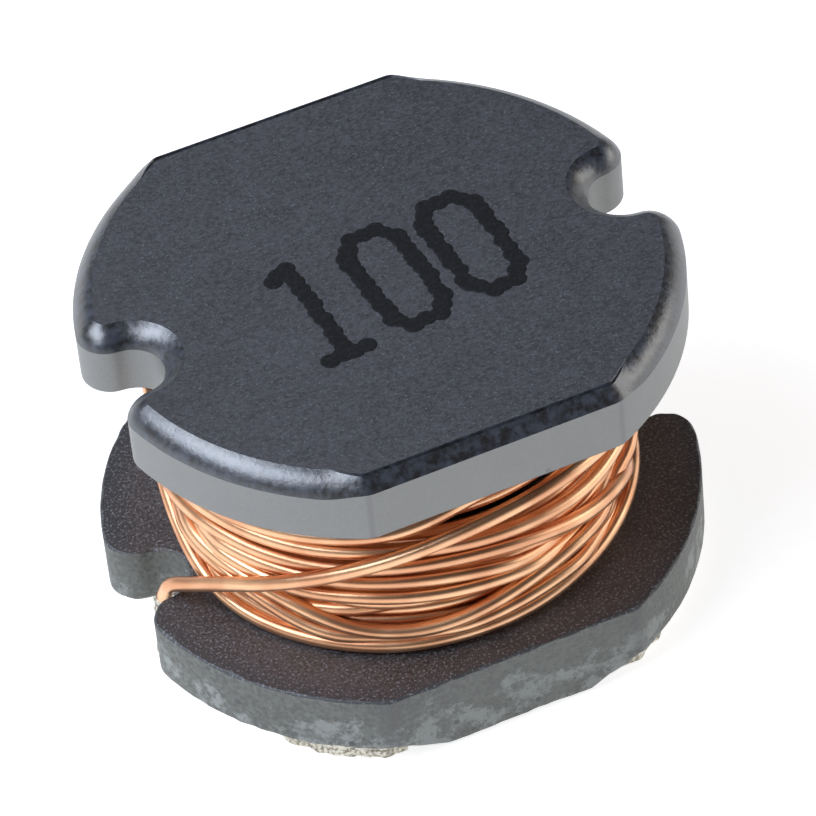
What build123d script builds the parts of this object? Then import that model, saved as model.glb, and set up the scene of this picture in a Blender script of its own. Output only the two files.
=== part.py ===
from build123d import *
from math import atan2, cos, degrees, radians, sin, sqrt, tan
import os

# Surface-mount drum inductor: a ferrite drum core wound with one enamelled copper wire, whose two
# ends pass through the notches of the lower flange and are soldered to silver electrodes under it.
# Millimetres. X runs from notch to notch, Y across the flats, +Z up. The origin is the middle of
# the seating plane, on which the two solder coats stand.

# Ferrite drum core, pressed and sintered in one piece
core_height = 4.90
lower_flange_length = 7.80
lower_flat_depth = 0.40
lower_flange_thickness = 1.13
upper_flange_length = 7.70
upper_flat_depth = 0.39
upper_flange_thickness = 0.95
post_diameter = 3.20
post_root_bevel = 0.12
corner_radius = 0.40
upper_rim_radius = 0.26
upper_inner_chamfer = 0.05
lower_rim_chamfer = 0.07

# Wire notches, one at each end of both flanges
notch_radius = 0.45
notch_depth = 0.90
lip_radius = 0.40

# Underside: a drafted bar between two recessed end lands
land_recess = 0.26
bar_foot_width = 2.00
bar_root_width = 3.40

# Silver electrodes
electrode_thickness = 0.03
electrode_margin = 0.06
electrode_bar_gap = 0.06

# Solder over the electrodes and up the leads
solder_under_wire = 0.09
solder_margin = 0.15
solder_bar_gap = 0.12
solder_edge_bevel = 0.08
solder_neck_width = 0.36
neck_clearance = 0.04
wick_height = 0.72
wick_tip_wall = 0.03

# Enamelled copper wire, drawn with few enough sides to keep a coil of it light
wire_diameter = 0.20
wire_sides = 7
winding_diameter = 6.24
valley_depth = 0.13
window_clearance = 0.02
post_clearance = 0.01
lead_bend_radius = 0.22
lead_tail_length = 1.00

# Turns that show on the outside of the coil, from the lowest up: share of the window height, rise
# from the turn's middle to its high side, and the direction of the high side in degrees
OUTER_TURNS = [
    (0.000, 0.00, 0),
    (0.085, 0.10, -65),
    (0.200, 0.26, -170),
    (0.290, 0.30, -60),
    (0.390, 0.40, -130),
    (0.490, 0.42, -105),
    (0.600, 0.38, -120),
    (0.725, 0.28, -60),
    (1.000, 0.00, 0),
]

# Finish lead over the outside of the coil, from its last turn towards its notch: direction in
# degrees, share of the window height, and lift above the outer turns in wire diameters
FINISH_LEAD = [
    (-22, 0.62, 0.0),
    (-46, 0.71, 0.9),
    (-70, 0.76, 1.0),
    (-94, 0.72, 1.0),
    (-116, 0.60, 1.0),
    (-136, 0.44, 1.0),
    (-155, 0.26, 1.0),
]

# Share of the shorter run that each arc of a lead takes up
run_share = 0.45
# A rim rounded in three equal flats is cut back this far by the first of them
first_flat_share = 0.73

# Derived sizes
wire_radius = wire_diameter / 2
tail_z = solder_under_wire + wire_radius
electrode_bottom_z = solder_under_wire + wire_diameter
land_z = electrode_bottom_z + electrode_thickness
bar_foot_z = land_z - land_recess
core_top_z = bar_foot_z + core_height
lower_flange_top_z = bar_foot_z + lower_flange_thickness
upper_flange_bottom_z = core_top_z - upper_flange_thickness
window_low_z = lower_flange_top_z + window_clearance
window_high_z = upper_flange_bottom_z - window_clearance
turn_radius = winding_diameter / 2 - wire_radius
valley_radius = winding_diameter / 2 - valley_depth
notch_centre_x = lower_flange_length / 2 - notch_depth + notch_radius
lead_side_y = notch_radius - neck_clearance - solder_neck_width / 2
cutter_size = 2 * max(lower_flange_length, upper_flange_length)


def flange_outline(length, flat_depth):
    """A round flange with two flats and a round-lipped notch at each end, drawn from one quarter."""
    rim = length / 2
    flat_y = rim - flat_depth
    floor_x = rim - notch_depth + notch_radius
    lip_x = (rim - lip_radius) ** 2 + floor_x**2 - (notch_radius + lip_radius) ** 2
    lip_x /= 2 * floor_x
    lip_y = sqrt((rim - lip_radius) ** 2 - lip_x**2)
    corner_y = flat_y - corner_radius
    corner_x = sqrt((rim - corner_radius) ** 2 - corner_y**2)
    rim_start = degrees(atan2(corner_y, corner_x))
    rim_end = degrees(atan2(lip_y, lip_x))
    floor_start = degrees(atan2(lip_y, lip_x - floor_x))
    quarter = Line((0, flat_y), (corner_x, flat_y))
    quarter += CenterArc((corner_x, corner_y), corner_radius, 90, rim_start - 90)
    quarter += CenterArc((0, 0), rim, rim_start, rim_end - rim_start)
    quarter += CenterArc((lip_x, lip_y), lip_radius, rim_end, floor_start - 180 - rim_end)
    quarter += CenterArc((floor_x, 0), notch_radius, floor_start, 180 - floor_start)
    half = quarter + mirror(quarter, about=Plane.XZ)
    return make_face((half + mirror(half, about=Plane.YZ)).edges())


def flange(length, flat_depth, thickness, low_z):
    """One flange of the drum as a plain plate."""
    return Pos(0, 0, low_z) * extrude(flange_outline(length, flat_depth), thickness)


def rounded_top(plate, radius):
    """Rounds the plate's top rim in three equal flats, which takes few faces."""
    first_cut = first_flat_share * radius
    plate = chamfer(plate.edges().group_by(Axis.Z)[-1], first_cut)
    levels = plate.edges().group_by(Axis.Z)
    return chamfer(levels[-1] + levels[-3], radius - first_cut)


def post():
    """The core's round middle, bevelled out into each flange at its root."""
    height = upper_flange_bottom_z - lower_flange_top_z
    radius = post_diameter / 2
    bevel = post_root_bevel
    profile = Polyline(
        (0, 0),
        (radius + bevel, 0),
        (radius, bevel),
        (radius, height - bevel),
        (radius + bevel, height),
        (0, height),
        close=True,
    )
    return Pos(0, 0, lower_flange_top_z) * revolve(Plane.XZ * make_face(profile), Axis.Z)


def land_cutter(side):
    """Clears the recess of one end land and leaves the drafted side of the bar."""
    profile = Polyline(
        (bar_foot_width / 2, bar_foot_z),
        (bar_root_width / 2, land_z),
        (cutter_size, land_z),
        (cutter_size, bar_foot_z),
        close=True,
    )
    prism = extrude(Plane.XZ * make_face(profile), cutter_size, both=True)
    return prism if side > 0 else mirror(prism, about=Plane.YZ)


def drum_core():
    """Both flanges, the post and the recessed underside as one solid."""
    lower = flange(lower_flange_length, lower_flat_depth, lower_flange_thickness, bar_foot_z)
    lower = chamfer(lower.edges().group_by(Axis.Z)[-1], lower_rim_chamfer)
    for side in (-1, 1):
        lower -= land_cutter(side)
    upper = flange(
        upper_flange_length, upper_flat_depth, upper_flange_thickness, upper_flange_bottom_z
    )
    upper = rounded_top(upper, upper_rim_radius)
    upper = chamfer(upper.edges().group_by(Axis.Z)[0], upper_inner_chamfer)
    return lower + post() + upper


def end_land(margin, bar_gap):
    """Plan of the +X end land, held in from the flange's edge and from the bar's root."""
    plan = offset(flange_outline(lower_flange_length, lower_flat_depth), -margin)
    low_x = bar_root_width / 2 + bar_gap
    return plan & Pos(low_x + cutter_size / 2, 0) * Rectangle(cutter_size, cutter_size)


def electrode(side):
    """Fired silver on one end land."""
    plan = end_land(electrode_margin, electrode_bar_gap)
    film = Pos(0, 0, electrode_bottom_z) * extrude(plan, electrode_thickness)
    return film if side > 0 else mirror(film, about=Plane.YZ)


def bevel_wedge(edge_x, outward):
    """Section that slopes a lower edge of the solder at 45 degrees; outward is +1 or -1 along X."""
    reach = outward * solder_edge_bevel
    profile = Polyline(
        (edge_x - 2 * reach, -solder_edge_bevel),
        (edge_x + reach, 2 * solder_edge_bevel),
        (edge_x + reach, -solder_edge_bevel),
        close=True,
    )
    return Plane.XZ * make_face(profile)


def solder_pad():
    """Solder over the +X electrode, sloped at the rim, round the notch and along the bar."""
    rim_wedge = bevel_wedge(lower_flange_length / 2 - solder_margin, 1)
    notch_wedge = bevel_wedge(notch_radius + solder_margin, -1)
    bar_wedge = bevel_wedge(bar_root_width / 2 + solder_bar_gap, -1)
    pad = extrude(end_land(solder_margin, solder_bar_gap), electrode_bottom_z)
    pad -= revolve(rim_wedge, Axis.Z)
    pad -= Pos(notch_centre_x, 0) * revolve(notch_wedge, Axis.Z)
    return pad - extrude(bar_wedge, cutter_size, both=True)


def solder_neck():
    """Solder tongue from the +X pad out to the lead in the notch, with the wick round the lead."""
    tongue = SlotCenterToCenter(2 * notch_radius, solder_neck_width)
    neck = extrude(Pos(notch_centre_x - notch_radius, lead_side_y) * tongue, electrode_bottom_z)
    neck = chamfer(neck.edges().group_by(Axis.Z)[0], solder_edge_bevel)
    foot = RegularPolygon(solder_neck_width / 2, wire_sides)
    tip = Pos(0, 0, wick_height) * RegularPolygon(wire_radius + wick_tip_wall, wire_sides)
    return neck + Pos(notch_centre_x, lead_side_y, electrode_bottom_z) * loft([foot, tip])


def solder_coat(side, wire):
    """Solder over one electrode: it stands proud of the bar and holds the lead's tail."""
    coat = solder_pad() + solder_neck()
    coat = coat if side > 0 else Rot(0, 0, 180) * coat
    return coat - wire


def coil_body():
    """The packed inner layers, relieved for the post's root bevels."""
    inner = post_diameter / 2 + post_clearance
    profile = Polyline(
        (inner + post_root_bevel, window_low_z),
        (valley_radius, window_low_z),
        (valley_radius, window_high_z),
        (inner + post_root_bevel, window_high_z),
        (inner, window_high_z - post_root_bevel),
        (inner, window_low_z + post_root_bevel),
        close=True,
    )
    return revolve(Plane.XZ * make_face(profile), Axis.Z)


def wire_section():
    """The wire's section, corner outwards."""
    return RegularPolygon(wire_radius, wire_sides)


def outer_turns():
    """One ring of wire for each turn that shows, tipped about a level axis through the post."""
    ring = revolve(Plane.XZ * Pos(turn_radius, 0) * wire_section(), Axis.Z)
    low = window_low_z + wire_radius
    high = window_high_z - wire_radius
    rings = []
    for share, rise, high_side in OUTER_TURNS:
        height = low + share * (high - low)
        room = min(height - low, high - height)
        slope = degrees(min(rise, room) / turn_radius)
        rings.append(Pos(0, 0, height) * Rot(0, 0, high_side) * Rot(0, -slope, 0) * ring)
    return rings


def lead_end(side):
    """Corners of a lead from the first turn's height, down one side of its notch to its tail."""
    return [
        (side * notch_centre_x, side * lead_side_y, window_low_z + wire_radius),
        (side * notch_centre_x, side * lead_side_y, tail_z),
        (side * (notch_centre_x - lead_tail_length), side * lead_side_y, tail_z),
    ]


def bend_radii(points):
    """The widest arc that the runs allow at each corner, with the lead's own bend at the last two."""
    corners = [Vector(*point) for point in points]
    radii = []
    for before, here, after in zip(corners, corners[1:], corners[2:]):
        half_turn = radians((here - before).get_angle(after - here)) / 2
        shorter_run = min((here - before).length, (after - here).length)
        radii.append(run_share * shorter_run / tan(half_turn))
    return radii[:-2] + [lead_bend_radius, lead_bend_radius]


def wire_along(points):
    """Wire along straight runs joined by tangent arcs."""
    path = FilletPolyline(*points, radius=bend_radii(points))
    return sweep(Plane(origin=path @ 0, z_dir=path % 0) * wire_section(), path=path)


def start_lead():
    """From inside the first turn, out over the lower flange and down the +X notch."""
    ends = lead_end(1)
    start_x = min(turn_radius - wire_diameter, notch_centre_x - 2 * lead_bend_radius)
    return wire_along([(start_x, lead_side_y, ends[0][2])] + ends)


def finish_lead():
    """From the last turn, slanting down over the coil and into the -X notch."""
    points = []
    for direction, share, lift in FINISH_LEAD:
        radius = turn_radius + lift * wire_diameter
        height = window_low_z + share * (window_high_z - window_low_z)
        x = radius * cos(radians(direction))
        y = radius * sin(radians(direction))
        points.append((x, y, height))
    return wire_along(points + lead_end(-1))


def winding():
    """The whole coil with both leads, one length of wire, as one solid."""
    coil = coil_body()
    for piece in outer_turns() + [start_lead(), finish_lead()]:
        coil += piece
    return coil


wire = winding()
parts = {
    "drum_core": drum_core(),
    "winding": wire,
    "electrode_start": electrode(1),
    "electrode_finish": electrode(-1),
    "solder_start": solder_coat(1, wire),
    "solder_finish": solder_coat(-1, wire),
}

os.makedirs("parts", exist_ok=True)
for name, shape in parts.items():
    export_step(shape, f"parts/{name}.step")
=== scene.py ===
"""Surface-mount power inductor: a wound ferrite drum on two solder pads, in a studio."""

import logging
import math
from dataclasses import dataclass
from enum import Enum
from typing import Any, ClassVar, Iterable, Sequence

import bpy
import numpy as np
from mathutils import Matrix, Vector, noise


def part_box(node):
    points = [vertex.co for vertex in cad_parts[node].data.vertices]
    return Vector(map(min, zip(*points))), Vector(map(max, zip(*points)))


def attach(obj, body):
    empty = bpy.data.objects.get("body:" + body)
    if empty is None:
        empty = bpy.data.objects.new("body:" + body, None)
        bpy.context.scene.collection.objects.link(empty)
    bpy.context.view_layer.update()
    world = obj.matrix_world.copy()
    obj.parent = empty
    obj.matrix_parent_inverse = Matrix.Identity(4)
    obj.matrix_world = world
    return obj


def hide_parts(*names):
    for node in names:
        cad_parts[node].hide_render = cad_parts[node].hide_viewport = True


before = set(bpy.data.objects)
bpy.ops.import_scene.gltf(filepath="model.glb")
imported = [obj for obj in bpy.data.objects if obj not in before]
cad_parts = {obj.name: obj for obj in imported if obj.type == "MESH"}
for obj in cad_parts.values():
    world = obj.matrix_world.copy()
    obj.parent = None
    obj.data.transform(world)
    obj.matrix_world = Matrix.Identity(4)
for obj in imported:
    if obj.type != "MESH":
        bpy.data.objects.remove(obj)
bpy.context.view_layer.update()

MM = 0.001
BODY = "root"
WIRE_DIAMETER = 0.20
log = logging.getLogger("inductor")

Colour = tuple[float, float, float, float]
Inputs = dict[str | int, Any]
Tree = bpy.types.NodeTree
Material = bpy.types.Material
Piece = bpy.types.Object


# ---------------------------------------------------------------- shared helpers


def linear(hex_colour: str) -> Colour:
    """Turns an sRGB hex colour into a linear one.

    Args:
        hex_colour: Six hex digits, with or without a leading hash.

    Returns:
        Red, green, blue and an alpha of 1, all linear.
    """
    digits = hex_colour.lstrip("#")
    channels = [int(digits[i : i + 2], 16) / 255 for i in (0, 2, 4)]
    values = [c / 12.92 if c <= 0.04045 else ((c + 0.055) / 1.055) ** 2.4 for c in channels]
    return (values[0], values[1], values[2], 1.0)


def per_metre(size_mm: float) -> float:
    """Texture scale whose features are about size_mm apart in the metre frame."""
    return 1 / (size_mm * MM)


def add_node(tree: Tree, kind: str, inputs: Inputs | None = None, **settings: Any) -> Any:
    """Adds one shader node.

    Args:
        tree: Node tree that receives it.
        kind: Blender's node type.
        inputs: Socket name or index to its own value, or to the output that feeds it.
        settings: Properties of the node itself.

    Returns:
        The new node.
    """
    node = tree.nodes.new(kind)
    for name, setting in settings.items():
        setattr(node, name, setting)
    for socket, value in (inputs or {}).items():
        if isinstance(value, bpy.types.NodeSocket):
            tree.links.new(value, node.inputs[socket])
        else:
            node.inputs[socket].default_value = value
    return node


def calculate(tree: Tree, operation: str, *terms: Any) -> Any:
    """Adds one math node.

    Args:
        tree: Node tree that receives it.
        operation: Blender's name of the operation.
        terms: Sockets or numbers, in order.

    Returns:
        Its output socket.
    """
    node = add_node(tree, "ShaderNodeMath", dict(enumerate(terms)), operation=operation)
    return node.outputs[0]


def ramp(
    tree: Tree,
    source: Any,
    low: float,
    high: float,
    start: float = 0.0,
    end: float = 1.0,
) -> Any:
    """Eases a socket's value from start, at low, to end, at high.

    Args:
        tree: Node tree.
        source: Socket that is read.
        low: Its value where the ramp starts.
        high: Its value where the ramp ends.
        start: Result at low.
        end: Result at high.

    Returns:
        Output socket.
    """
    inputs = {"Value": source, "From Min": low, "From Max": high, "To Min": start, "To Max": end}
    node = add_node(tree, "ShaderNodeMapRange", inputs, interpolation_type="SMOOTHSTEP")
    return node.outputs["Result"]


def blend(tree: Tree, factor: Any, first: Any, second: Any) -> Any:
    """Mixes two colours.

    Args:
        tree: Node tree.
        factor: Socket with the share of the second colour.
        first: Colour or socket.
        second: Colour or socket.

    Returns:
        Output socket.
    """
    inputs = {"Factor": factor, 6: first, 7: second}
    return add_node(tree, "ShaderNodeMix", inputs, data_type="RGBA").outputs[2]


def field(
    tree: Tree,
    place: Any,
    size_mm: float,
    detail: float = 3.0,
    roughness: float = 0.55,
) -> Any:
    """Soft noise whose features are about size_mm apart.

    Args:
        tree: Node tree.
        place: Texture place, in metres.
        size_mm: Distance between features.
        detail: Octaves of finer noise.
        roughness: Weight of the finer noise.

    Returns:
        Output socket, mostly between 0.3 and 0.7.
    """
    inputs = {
        "Vector": place,
        "Scale": per_metre(size_mm),
        "Detail": detail,
        "Roughness": roughness,
    }
    return add_node(tree, "ShaderNodeTexNoise", inputs).outputs["Fac"]


def specks(tree: Tree, place: Any, spacing_mm: float, share: float, size: float) -> Any:
    """Small round specks, some per cell of a random packing.

    Args:
        tree: Node tree.
        place: Texture place, in metres.
        spacing_mm: Mean distance between cells.
        share: Share of the cells that hold a speck.
        size: Speck radius as a share of the spacing.

    Returns:
        Socket that is 1 inside a speck.
    """
    inputs = {"Vector": place, "Scale": per_metre(spacing_mm)}
    cells = add_node(tree, "ShaderNodeTexVoronoi", inputs)
    inside = ramp(tree, cells.outputs["Distance"], size, size * 0.5)
    chance = add_node(tree, "ShaderNodeSeparateColor", {"Color": cells.outputs["Color"]})
    chosen = calculate(tree, "LESS_THAN", chance.outputs["Red"], share)
    return calculate(tree, "MULTIPLY", inside, chosen)


def facets(tree: Tree, place: Any, size_mm: float, share: float) -> Any:
    """Painted highlights on grain facets of uneven size, scattered at random.

    Args:
        tree: Node tree.
        place: Texture place, in metres.
        size_mm: Distance between grains.
        share: Share of the grains that face the light.

    Returns:
        Socket that is up to 1 on a facet.
    """
    grain = field(tree, place, size_mm, detail=2.0, roughness=0.6)
    # About half of such noise lies over 0.5, and hardly any over 0.64.
    level = 0.5 + 0.28 * (0.5 - share)
    return ramp(tree, grain, level, level + 0.09)


def bumpy(tree: Tree, height: Any, relief_mm: float) -> Any:
    """Bump normal from a height socket whose full range stands relief_mm high."""
    inputs = {"Height": height, "Strength": 1.0, "Distance": relief_mm * MM}
    return add_node(tree, "ShaderNodeBump", inputs).outputs["Normal"]


def shade_with(tree: Tree, inputs: Inputs) -> None:
    """Ends a material with a Principled shader.

    Args:
        tree: Node tree.
        inputs: The shader's own values and the sockets that feed it.
    """
    shader = add_node(tree, "ShaderNodeBsdfPrincipled", inputs)
    add_node(tree, "ShaderNodeOutputMaterial", {"Surface": shader.outputs[0]})


def start_material(name: str) -> tuple[Material, Tree, Any]:
    """Makes an empty node material.

    Args:
        name: Name of the material.

    Returns:
        The material, its node tree and the socket of the place in the object, in metres.
    """
    material = bpy.data.materials.new(name)
    material.use_nodes = True
    tree = material.node_tree
    tree.nodes.clear()
    return material, tree, add_node(tree, "ShaderNodeTexCoord").outputs["Object"]


def add_object(name: str, data: Any) -> Piece:
    """Makes an object of a mesh, a lamp or a camera and links it to the scene."""
    made = bpy.data.objects.new(name, data)
    bpy.context.scene.collection.objects.link(made)
    return made


def add_mesh(
    name: str,
    vertices_mm: np.ndarray,
    faces: Iterable[Sequence[int]],
    materials: Sequence[Material],
    face_materials: Sequence[int] | None = None,
) -> Piece:
    """Makes a smooth-shaded mesh object from points in millimetres.

    Args:
        name: Name of the object.
        vertices_mm: Points, one row each.
        faces: Corner numbers of each face.
        materials: Material slots.
        face_materials: Slot number of each face, or None for the first slot.

    Returns:
        The object, linked to the scene.
    """
    mesh = bpy.data.meshes.new(name)
    mesh.from_pydata((np.asarray(vertices_mm) * MM).tolist(), [], [list(face) for face in faces])
    for material in materials:
        mesh.materials.append(material)
    if face_materials is not None:
        mesh.polygons.foreach_set("material_index", list(face_materials))
    mesh.shade_smooth()
    mesh.update()
    return add_object(name, mesh)


def modified_mesh(piece: Piece) -> bpy.types.Mesh:
    """The mesh that an object's modifiers make of it."""
    depsgraph = bpy.context.evaluated_depsgraph_get()
    return bpy.data.meshes.new_from_object(piece.evaluated_get(depsgraph))


def wall_faces(levels: int, count: int) -> list[list[int]]:
    """Four-sided faces between the neighbouring rings of a stack.

    Args:
        levels: Rings in the stack.
        count: Points in each ring.

    Returns:
        Corner numbers of each face, one band after the other.
    """
    near = np.arange(levels * count).reshape(levels, count)
    next_one = np.roll(near, -1, axis=1)
    faces = np.stack([near[:-1], next_one[:-1], next_one[1:], near[1:]], axis=-1)
    return faces.reshape(-1, 4).tolist()


def fit_piece(piece: Piece, slot: str | None, *nodes: str) -> None:
    """Puts a finished piece on the body.

    Args:
        piece: The piece.
        slot: Material slot of the record, or None where it has none; not used.
        nodes: Solids that the piece stands for.
    """
    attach(piece, BODY)
    if nodes:
        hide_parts(*nodes)
    log.info("%s: %d faces", piece.name, len(piece.data.polygons))


def smooth(values: np.ndarray, width: float) -> np.ndarray:
    """Gaussian smoothing.

    Args:
        values: Samples in a row.
        width: Standard deviation in samples.

    Returns:
        As many smoothed samples.
    """
    reach = int(3 * width) + 1
    kernel = np.exp(-0.5 * (np.arange(-reach, reach + 1) / width) ** 2)
    kernel /= kernel.sum()
    return np.convolve(np.pad(values, reach, mode="edge"), kernel, mode="valid")


# ---------------------------------------------------------------- finishes


@dataclass(frozen=True)
class SinteredFerrite:
    """Nickel-zinc ferrite, pressed from powder, sintered and tumbled.

    The dense oxide is nearly black, and its high index gives it a grey, metallic sheen. Glints on
    the grain facets are painted highlights. Light and shade are painted into the faces' base
    colours too: paler on the walls, which are also smoother, and darker on the rim and the ledge.
    All sizes are in mm.
    """

    name: str
    dark: str
    light: str
    grain: float = 0.030
    contrast: float = 1.0
    streak: float = 1.0
    streak_turn: float = 0.0
    cloud: float = 0.9
    cloud_weight: float = 0.30
    glint: str = "#C9D0D6"
    glint_share: float = 0.0
    glint_size: float = 0.035
    blotch: str = "#8E9494"
    blotch_share: float = 0.0
    blotch_size: float = 0.45
    blotch_top: float = 0.0
    pit_share: float = 0.0
    corner_shade_x: float = 0.0
    corner_shade_width: float = 0.06
    edge: str = ""
    edge_rim: float = 0.0
    edge_flat: float = 0.0
    edge_reach: float = 0.5
    corner_shade: str = "#35373A"
    pit_shade: str = "#23252A"
    pit_spacing: float = 0.22
    roughness: float = 0.42
    roughness_spread: float = 0.12
    relief: float = 0.004
    ior: float = 2.4

    def material(self) -> Material:
        """Builds the finish's material."""
        material, tree, place = start_material(self.name)
        axes = add_node(tree, "ShaderNodeSeparateXYZ", {"Vector": place}).outputs
        streaks = {
            "Vector": place,
            "Rotation": (0, 0, math.radians(self.streak_turn)),
            "Scale": (1 / self.streak, 1, 1),
        }
        turned = add_node(tree, "ShaderNodeMapping", streaks).outputs["Vector"]
        # The real grain is 5 to 20 micrometres, too fine to show, so it is drawn coarser.
        grain = field(tree, turned, self.grain, detail=4.0, roughness=0.62)
        cloud = field(tree, place, self.cloud)
        tone = calculate(tree, "MULTIPLY_ADD", cloud, self.cloud_weight, grain)
        middle = 0.5 + 0.5 * self.cloud_weight
        # At a contrast of 1 the two tones lie as far apart as the noise spreads.
        reach = 0.22 / self.contrast
        shade = ramp(tree, tone, middle - reach, middle + reach)
        colour = blend(tree, shade, linear(self.dark), linear(self.light))
        # Along the rim, a bluer tone takes over from the ledge's painted shade and copper
        # reflection.
        if self.edge:
            colour = blend(tree, self._near_rim(tree, axes, grain), colour, linear(self.edge))
        if self.blotch_share:
            colour = blend(tree, self._blotches(tree, place, axes), colour, linear(self.blotch))
        # Painted shadow: a dark band down each corner where a flat meets the rim.
        if self.corner_shade_x:
            across = calculate(tree, "ABSOLUTE", axes["X"])
            off_corner_shade = calculate(tree, "SUBTRACT", across, self.corner_shade_x * MM)
            off_corner_shade = calculate(tree, "ABSOLUTE", off_corner_shade)
            corner_shade = ramp(tree, off_corner_shade, self.corner_shade_width * MM, 0.01 * MM, 0.0, 0.5)
            colour = blend(tree, corner_shade, colour, linear(self.corner_shade))
        # Painted shade: small dark specks that stand for the shade inside pits.
        if self.pit_share:
            pits = specks(tree, place, self.pit_spacing, self.pit_share, 0.28)
            colour = blend(tree, pits, colour, linear(self.pit_shade))
        # Painted highlights: pale specks on the grain facets.
        if self.glint_share:
            glints = facets(tree, place, self.glint_size, self.glint_share)
            colour = blend(tree, glints, colour, linear(self.glint))
        polished = self.roughness - self.roughness_spread
        rough = ramp(tree, grain, 0.3, 0.7, polished, self.roughness)
        inputs = {"Base Color": colour, "Roughness": rough, "IOR": self.ior}
        inputs["Normal"] = bumpy(tree, tone, self.relief)
        shade_with(tree, inputs)
        return material

    def _near_rim(self, tree: Tree, axes: Any, grain: Any) -> Any:
        """Band along the flange's rim with a ragged inner side.

        Args:
            tree: Node tree.
            axes: X, Y and Z of the place.
            grain: Noise that breaks up the band's inner side.

        Returns:
            Socket that is 1 at the rim.
        """
        square_x = calculate(tree, "MULTIPLY", axes["X"], axes["X"])
        square_y = calculate(tree, "MULTIPLY", axes["Y"], axes["Y"])
        away = calculate(tree, "SQRT", calculate(tree, "ADD", square_x, square_y))
        from_rim = calculate(tree, "SUBTRACT", self.edge_rim * MM, away)
        beside = calculate(tree, "ABSOLUTE", axes["Y"])
        from_flat = calculate(tree, "SUBTRACT", self.edge_flat * MM, beside)
        gap = calculate(tree, "MINIMUM", from_rim, from_flat)
        reach = self.edge_reach * MM
        ragged = calculate(tree, "MULTIPLY_ADD", grain, 0.6 * reach, gap)
        return ramp(tree, ragged, 1.3 * reach, 0.3 * reach)

    def _blotches(self, tree: Tree, place: Any, axes: Any) -> Any:
        """Pale patches with finely ragged edges, fewer towards blotch_top.

        Args:
            tree: Node tree.
            place: Texture place.
            axes: X, Y and Z of the place.

        Returns:
            Socket that is near 1 inside a patch.
        """
        patch = field(tree, place, self.blotch_size, detail=6.0, roughness=0.78)
        top = self.blotch_top * MM
        fade = ramp(tree, axes["Z"], 0.55 * top, top, 0.0, -0.16)
        level = 0.5 + 0.32 * (0.5 - self.blotch_share)
        return ramp(tree, calculate(tree, "ADD", patch, fade), level, level + 0.11, 0.0, 0.85)


class FerriteFace(Enum):
    """The ferrite's faces, each with the finish that pressing, tumbling or wear gives it."""

    TOP = 0
    RIM = 1
    WALL = 2
    LEDGE = 3
    LOWER_WALL = 4
    UNDERSIDE = 5


FERRITE_FINISHES = {
    # Pressed by the punch: fine even grain with a faint grain direction and tiny facets with
    # painted glints.
    FerriteFace.TOP: SinteredFerrite(
        "ferrite_pressed_top", dark="#32343A", light="#52565F", grain=0.036, contrast=0.8,
        streak=1.6, streak_turn=24.5, glint="#7E8793", glint_size=0.030, glint_share=0.06,
        roughness=0.46, relief=0.0025,
    ),
    # Tumbled: close-grained and glossier, which draws a bright line along the rim; its dark, bluish
    # base is painted shade and painted dark reflection on the bevel and the crease.
    FerriteFace.RIM: SinteredFerrite(
        "ferrite_tumbled_rim_painted_shade", dark="#15181D", light="#3C4553", grain=0.09, cloud=0.22,
        cloud_weight=0.8, contrast=1.1, roughness=0.37, roughness_spread=0.08, relief=0.005,
        ior=2.25,
    ),
    # Rubbed against the die: smooth and faintly mottled, with a pale base that is a painted sheen,
    # the white floor's reflection painted in, and a painted shadow at each corner.
    FerriteFace.WALL: SinteredFerrite(
        "ferrite_die_wall_painted_sheen", dark="#6E706E", light="#80827F", cloud=0.5, pit_share=0.01, corner_shade_x=1.69,
        roughness=0.5, relief=0.0015,
    ),
    # Left open by the press tool: grainy with painted glints on its facets; its brown-black is
    # painted shade under the upper flange and painted copper reflection, bluer along the rim.
    FerriteFace.LEDGE: SinteredFerrite(
        "ferrite_open_grain_painted_shade", dark="#1A1617", light="#4C4446", grain=0.050, contrast=1.8,
        glint="#7C8189", glint_share=0.30, glint_size=0.036, edge="#23262D", edge_rim=3.9,
        edge_flat=3.5, edge_reach=0.40, roughness=0.62, relief=0.014, ior=2.0,
    ),
    # Greener grey, with paler patches towards the foot, painted shade of small pits and a painted
    # shadow at each corner.
    FerriteFace.LOWER_WALL: SinteredFerrite(
        "ferrite_lower_wall", dark="#2C302D", light="#6B7069", grain=0.075, contrast=1.4,
        blotch="#A8AEAB", blotch_share=0.62, blotch_size=0.55, blotch_top=1.10, pit_share=0.16,
        corner_shade_x=1.72, corner_shade_width=0.20, roughness=0.60, relief=0.018, ior=2.0,
    ),
    # Fired on its setter: dull and even.
    FerriteFace.UNDERSIDE: SinteredFerrite(
        "ferrite_fired_underside", dark="#37393C", light="#4C4F52", pit_share=0.08, roughness=0.6,
    ),
}


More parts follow.
